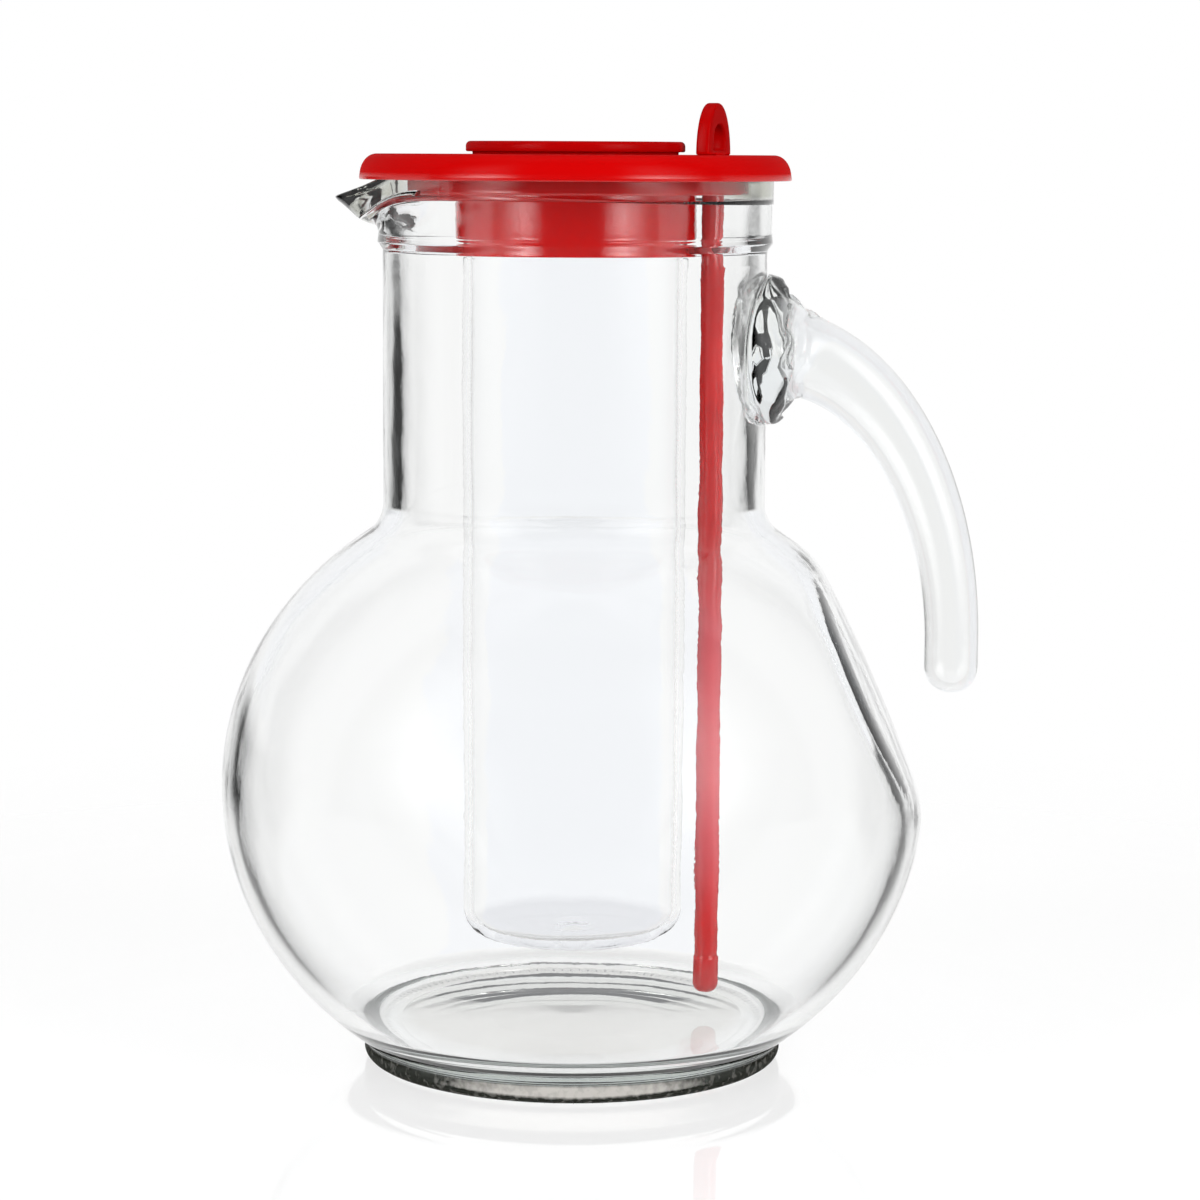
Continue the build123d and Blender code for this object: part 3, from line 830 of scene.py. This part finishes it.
plasticLook = {
    "ior": 1.04, "colour": (0.996, 0.998, 1.0, 1.0), "roughness": 0.015, "coat": 0.02,
    # the floor colour is painted shade on the tube's floor
    "floor": (0.84, 0.84, 0.85, 1.0), "floorZ": (1.5, 3.6), "flow": 120.0, "flowTall": 0.12, "bump": 0.04,
}


def clearPlastic(s):
    material, shader, place = newMaterial("clear_plastic")
    # painted shade: the tube's floor is painted grey
    low = zone(part(place, 2), [tubeLow.z + z for z in s["floorZ"]], 1.0, 0.0)
    feed(mixed(low, s["colour"], s["floor"]), shader, "Base Color")
    setInputs(shader, Roughness=s["roughness"], IOR=s["ior"], TransmissionWeight=1.0, CoatWeight=s["coat"])
    tall = place.make("ShaderNodeMapping", {}, {"Vector": place, "Scale": (1.0, 1.0, s["flowTall"])})
    feed(bumped(cloudy(tall, s["flow"]), s["bump"], 1.0), shader, "Normal")
    return material


redLook = {
    "deep": (0.55, 0.0012, 0.0014, 1.0), "bright": (0.63, 0.0018, 0.002, 1.0), "cloud": 38.0,
    "roughness": 0.5,
    "shaded": (0.43, 0.001, 0.0012, 1.0), "shadedZ": (0.3, 0.9),
    # the pale pink is a painted reflection on the rod, over the heights given
    "pale": (0.66, 0.15, 0.17, 1.0), "veil": 0.8, "veilLow": (30.0, 60.0), "veilHigh": (104.0, 126.0),
    "coatRough": 0.16, "coatIor": 1.65, "inside": 1.0, "outside": 0.035, "insideZ": (215.0, 217.0),
    "rodZ": (140.0, 160.0), "rodCoat": (0.8, 0.2), "lidZ": (193.0, 197.0),
    "smear": 260.0, "smearRough": 0.6, "smearShare": (0.8, 0.4),
    "grain": 1900.0, "grainBump": 0.05, "grainDepth": 0.4,
}


def redPlastic(s):
    material, shader, place = newMaterial("red_plastic")
    setInputs(shader, SpecularIORLevel=0.0, Roughness=s["roughness"])
    setInputs(shader, CoatRoughness=s["coatRough"], CoatIOR=s["coatIor"])
    z = part(place, 2)
    colour = mixed(cloudy(place, s["cloud"], 3.0), s["deep"], s["bright"])
    colour = mixed(zone(z, [lidHigh.z + up for up in s["shadedZ"]]), colour, s["shaded"])
    # painted reflection: the rod is painted paler where the belly's front glass veils it with a reflection
    veil = zone(z, s["veilLow"], 0.0, s["veil"], smooth=True) * zone(z, s["veilHigh"], 1.0, 0.0, smooth=True)
    feed(mixed(veil, colour, s["pale"]), shader, "Base Color")
    # the shine is stronger on what stands in the jug
    shine = zone(z, s["insideZ"], s["inside"], s["outside"])
    least, more = s["smearShare"]
    smear = cloudy(place, s["smear"], 4.0, s["smearRough"]) * more + least
    reach = place.math("MAXIMUM", zone(z, s["rodZ"], *s["rodCoat"]), zone(z, s["lidZ"]))
    feed(shine * smear * reach, shader, "Coat Weight")
    feed(bumped(cloudy(place, s["grain"]), s["grainBump"], s["grainDepth"]), shader, "Normal")
    return material


glass, plastic, red = clearGlass(glassLook), clearPlastic(plasticLook), redPlastic(redLook)
for piece, look in ((jugGlass, glass), (iceTube, plastic), (lidRed, red), (coreCap, red), (stirrerRed, red)):
    piece.data.materials.clear()
    piece.data.materials.append(look)
print("materials set")


# ticks: fine ribs under the foot ring, laid round a circle by Geometry Nodes
ticks = {
    "ringRadius": 47.2, "count": 132, "length": 2.0, "width": 0.5, "height": 0.45, "uneven": 0.3, "seed": 5,
}


def makeTicks(s, look):
    tree = bpy.data.node_groups.new("foot_ticks", "GeometryNodeTree")
    inputs = {"Count": s["count"], "Uneven": s["uneven"], "Seed": s["seed"]}
    lengths = {"Ring radius": "ringRadius", "Length": "length", "Width": "width", "Height": "height"}
    inputs.update({name: s[key] * mm for name, key in lengths.items()})
    for name, value in inputs.items():
        kind = "NodeSocketInt" if isinstance(value, int) else "NodeSocketFloat"
        tree.interface.new_socket(name, in_out="INPUT", socket_type=kind).default_value = value
    tree.interface.new_socket("Geometry", in_out="OUTPUT", socket_type="NodeSocketGeometry")
    start = tree.nodes.new("NodeGroupInput")
    wires = {socket.name: Wire(socket) for socket in start.outputs if socket.name}
    make = wires["Count"].make
    circle = {"Vertices": wires["Count"], "Radius": wires["Ring radius"]}
    ring = make("GeometryNodeMeshCircle", {"fill_type": "NONE"}, circle)
    ball = make("GeometryNodeMeshIcoSphere", {}, {"Radius": 0.5, "Subdivisions": 2})
    size = make("ShaderNodeCombineXYZ", {}, {"X": wires["Length"], "Y": wires["Width"], "Z": wires["Height"]})
    rib = make("GeometryNodeTransform", {}, {"Geometry": ball, "Scale": size})
    lift = make("ShaderNodeCombineXYZ", {}, {"Z": wires["Height"] * 0.5})
    place = make("GeometryNodeInputPosition")
    spin = make("FunctionNodeAlignRotationToVector", {"axis": "X"}, {"Vector": place})
    span = {2: 1 - wires["Uneven"], 3: 1.0, "Seed": wires["Seed"]}
    chance = make("FunctionNodeRandomValue", {"data_type": "FLOAT"}, span, out=1)
    laid = {"Points": ring, "Instance": rib, "Rotation": spin, "Scale": chance}
    spread = make("GeometryNodeInstanceOnPoints", {}, laid)
    raised = make("GeometryNodeTransform", {}, {"Geometry": spread, "Translation": lift})
    real = make("GeometryNodeRealizeInstances", {}, {"Geometry": raised})
    done = make("GeometryNodeSetMaterial", {}, {"Geometry": real, "Material": look})
    feed(done, tree.nodes.new("NodeGroupOutput"), "Geometry")
    piece = bpy.data.objects.new("foot_ticks", bpy.data.meshes.new("foot_ticks"))
    scene.collection.objects.link(piece)
    piece.modifiers.new("ticks", "NODES").node_group = tree
    asMesh(piece)
    finishMesh(piece.data)
    return piece


footTicks = makeTicks(ticks, glass)
print("foot ticks:", len(footTicks.data.polygons), "faces")


# every piece rides its body and stands for its node
for piece, body, slot, nodes in (
    (jugGlass, "jug", "clear_glass", ("glass_body", "glass_handle")),
    (footTicks, "jug", "clear_glass", ()),
    (lidRed, "lid", "red_plastic", ("lid",)),
    (iceTube, "ice_tube", "clear_plastic", ("ice_tube",)),
    (coreCap, "core_cap", "red_plastic", ("core_cap",)),
    (stirrerRed, "stirrer", "red_plastic", ("stirrer",)),
):
    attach(piece, body)
    if nodes:
        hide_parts(*nodes)
print("pieces ride their bodies")


# studio: white all round, two tall soft boxes, a top light, and dark cards that draw the glass edges
studio = {
    "fill": 0.22, "innerFill": 1.4, "backTint": (0.965, 0.975, 1.0, 1.0),
    "topZ": 1300, "topWide": 900, "topPower": 1.3, "cardZ": 120, "cardR": 2500, "cardGrid": (49, 25),
}
# cards are parts of spheres: turns run from straight behind the object (0) to the camera (180), rises are
# heights in degrees; each has a run of grey along it and one up it, as (place, shade)
cards = {
    "edge_right": {
        "turns": (4, 118), "rises": (-62, 3), "far": 0, "power": 1.0, "blend": "SCREEN", "seenBy": "T",
        "across": (
            (0.0, 1.0), (0.09, 0.98), (0.158, 0.94), (0.2, 0.82), (0.235, 0.42), (0.262, 0.06), (0.29, 0.01),
            (0.37, 0.01), (0.43, 0.3), (0.52, 0.75), (0.62, 1.0), (1.0, 1.0),
        ),
        "up": ((0.0, 0.5), (0.3, 0.1), (0.8, 0.0), (0.93, 0.0), (1.0, 1.0)),
    },
    "low_back": {
        "turns": (-26, 26), "rises": (-75, -20), "far": 100, "power": 1.0, "blend": "SCREEN", "seenBy": "T",
        "across": ((0.0, 0.45), (1.0, 0.45)), "up": ((0.0, 0.1), (0.7, 0.1), (1.0, 1.0)),
    },
    "front_flag": {
        "turns": (128, 232), "rises": (-22, 86), "far": -100, "power": 1.0, "blend": "SCREEN", "seenBy": "GT",
        "across": ((0.0, 0.6), (0.1, 0.02), (0.9, 0.02), (1.0, 0.6)),
        "up": ((0.0, 0.6), (0.08, 0.0), (1.0, 0.0)),
    },
    "box_right": {
        "turns": (97, 156), "rises": (-8, 58), "far": -1000, "power": 7.8, "blend": "MULTIPLY",
        "seenBy": "DGT", "across": (
            (0.0, 0.0), (0.19, 0.05), (0.34, 0.3), (0.5, 0.7), (0.62, 1.0), (0.72, 1.0), (0.86, 0.5),
            (1.0, 0.0),
        ),
        "up": ((0.0, 0.0), (0.3, 1.0), (0.5, 1.0), (1.0, 0.0)),
    },
}
cards["edge_left"] = {**cards["edge_right"], "turns": (-4, -118), "seenBy": "GT"}
cards["box_left"] = {**cards["box_right"], "turns": (-97, -150)}


def blankMaterial(name, coordinate):
    # the material, its output and a wire of the coordinate
    material = bpy.data.materials.new(name)
    material.use_nodes = True
    nodes = material.node_tree.nodes
    nodes.clear()
    place = Wire(nodes.new("ShaderNodeTexCoord").outputs[coordinate])
    return material, nodes.new("ShaderNodeOutputMaterial"), place


def glowLook(name, c, s):
    # two runs of grey, along and up the card
    material, output, run = blankMaterial(name, "UV")
    shades = []
    for axis, stops in enumerate((c["across"], c["up"])):
        colours = {"stops": [(x, grey(shade)) for x, shade in stops]}
        shades.append(run.make("ShaderNodeValToRGB", colours, {0: part(run, axis)}))
    blend = {"data_type": "RGBA", "blend_type": c["blend"]}
    light = run.make("ShaderNodeMix", blend, {"Factor": 1.0, 6: shades[0], 7: shades[1]}, out=2)
    if "D" not in c["seenBy"]:
        # a dark card draws the glass but takes no light from a matt surface behind glass
        depth = run.make("ShaderNodeLightPath", out="Diffuse Depth")
        light = mixed(run.math("GREATER_THAN", depth, 0.5), light, grey(s["innerFill"]))
    feed(run.make("ShaderNodeEmission", {}, {"Color": light, "Strength": c["power"]}), output, "Surface")
    return material


def bentCard(name, c, s, rig):
    columns, rows = s["cardGrid"]
    radius = (s["cardR"] + c["far"]) * mm
    points, corners = [], []
    for v, rise in zip(np.linspace(0, 1, rows), np.radians(np.linspace(*c["rises"], rows))):
        for u, turn in zip(np.linspace(0, 1, columns), np.radians(np.linspace(*c["turns"], columns))):
            level = radius * cos(rise)
            points.append((level * sin(turn), level * cos(turn), radius * sin(rise)))
            corners.append((u, v))
    faces = []
    for j in range(rows - 1):
        for i in range(columns - 1):
            k = j * columns + i
            faces.append((k, k + 1, k + 1 + columns, k + columns))
    mesh = bpy.data.meshes.new(name)
    mesh.from_pydata(points, [], faces)
    run = mesh.uv_layers.new(name="run")
    for corner in mesh.loops:
        run.data[corner.index].uv = corners[corner.vertex_index]
    mesh.materials.append(glowLook(name, c, s))
    card = bpy.data.objects.new(name, mesh)
    scene.collection.objects.link(card)
    card.parent = rig
    card.location.z = s["cardZ"] * mm
    card.visible_camera = False
    card.visible_shadow = False
    card.visible_diffuse = "D" in c["seenBy"]
    card.visible_glossy = "G" in c["seenBy"]
    card.visible_transmission = "T" in c["seenBy"]


def makeStudio(s):
    rig = bpy.data.objects.new("light_rig", None)
    scene.collection.objects.link(rig)
    follow = rig.constraints.new("LOCKED_TRACK")
    follow.target = camera
    follow.track_axis = "TRACK_NEGATIVE_Y"
    follow.lock_axis = "LOCK_Z"
    data = bpy.data.lights.new("top_light", "AREA")
    data.size = s["topWide"] * mm
    data.energy = s["topPower"]
    lamp = bpy.data.objects.new("top_light", data)
    scene.collection.objects.link(lamp)
    lamp.location = (0, 0, s["topZ"] * mm)
    lamp.parent = rig
    for name, card in cards.items():
        bentCard(name, card, s, rig)


def makeWorld(s):
    world = bpy.data.worlds.new("studio")
    scene.world = world
    world.use_nodes = True
    nodes = world.node_tree.nodes
    nodes.clear()
    path = nodes.new("ShaderNodeLightPath")
    rays = ("Is Camera Ray", "Is Glossy Ray", "Is Transmission Ray")
    direct, mirrored, through = (Wire(path.outputs[ray]) for ray in rays)
    seen = direct + mirrored + through
    # light that a matt surface gets stays at the fill
    unspread = seen.math("LESS_THAN", Wire(path.outputs["Diffuse Depth"]), 0.5)
    # the floor ends close to the jug for light in the glass, so a matt surface in there gets a fuller fill
    strength = s["fill"] + through * (s["innerFill"] - s["fill"])

    def backdrop(colour, power):
        return seen.make("ShaderNodeBackground", {}, {"Color": colour, "Strength": power})

    shown = mixedShader(through, backdrop(white, 1.0), backdrop(s["backTint"], 1.0))
    surround = mixedShader(seen.math("MINIMUM", seen, unspread), backdrop(white, strength), shown)
    feed(surround, nodes.new("ShaderNodeOutputWorld"), "Surface")


# floor: a bright disc with a faint mirror, which fades out around the object
ground = {
    "radius": 520, "sides": 96, "drop": 0.15, "glow": 0.86, "colour": grey(0.22),
    "mirror": 0.18, "mirrorRough": 0.015, "mirrorFade": (60, 230), "fade": (260, 500), "innerFade": (57, 87),
}


def makeFloor(s):
    turns = [2 * pi * i / s["sides"] for i in range(s["sides"])]
    points = [(0, 0, 0)] + [(s["radius"] * cos(t) * mm, s["radius"] * sin(t) * mm, 0) for t in turns]
    faces = [(0, 1 + i, 1 + (i + 1) % s["sides"]) for i in range(s["sides"])]
    mesh = bpy.data.meshes.new("floor")
    mesh.from_pydata(points, [], faces)
    floor = bpy.data.objects.new("floor", mesh)
    floor.location.z = -s["drop"] * mm
    scene.collection.objects.link(floor)
    material, output, place = blankMaterial("white_floor", "Object")
    far = place.make("ShaderNodeVectorMath", {"operation": "LENGTH"}, {0: place}, out=1)
    fades = (s["mirrorFade"], s["innerFade"], s["fade"])
    mirrored, inner, outer = (zone(far, span, 1.0, 0.0, smooth=True) for span in fades)
    glow = place.make("ShaderNodeEmission", {}, {"Color": white, "Strength": s["glow"]})
    matt = place.make("ShaderNodeBsdfDiffuse", {}, {"Color": s["colour"]})
    lit = place.make("ShaderNodeAddShader", {}, {0: glow, 1: matt})
    mirror = place.make("ShaderNodeBsdfGlossy", {}, {"Color": white, "Roughness": s["mirrorRough"]})
    shiny = mixedShader(mirrored * s["mirror"], lit, mirror)
    through = place.make("ShaderNodeLightPath", out="Is Transmission Ray")
    near = inner * through + outer * (1 - through)
    feed(mixedShader(near, place.make("ShaderNodeBsdfTransparent"), shiny), output, "Surface")
    mesh.materials.append(material)


makeStudio(studio)
makeWorld(studio)
makeFloor(ground)
print("studio set")
